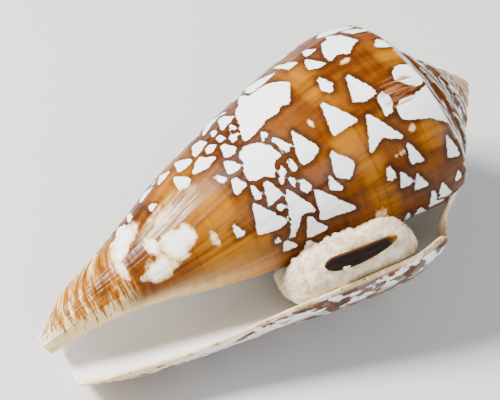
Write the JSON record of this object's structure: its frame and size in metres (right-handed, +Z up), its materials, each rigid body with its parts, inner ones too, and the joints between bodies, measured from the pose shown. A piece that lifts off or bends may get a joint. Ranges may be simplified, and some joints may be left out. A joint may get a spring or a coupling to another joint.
{
  "type": "cone shell",
  "caption": "Tent-marked cone shell lying on its side, mouth half filled by a cotton wad that carries its dark horny operculum",
  "frame": {"origin": "centre of the bounding box at the surface that the shell rests on", "axes": "+X from the narrow front tip toward the spire, level; -Y the side that the mouth faces, toward the viewer; +Z up"},
  "size_m": [0.0608, 0.0326, 0.0301],
  "materials": {
    "shell": "glossy shell, orange-brown with white tent marks, porcelain white inside",
    "cotton": "matte cotton wool",
    "horn": "satin dark horn"
  },
  "bodies": {
    "root": {"shell": "shell", "cotton_plug": "cotton", "operculum": "horn"}
  },
  "joints": []
}
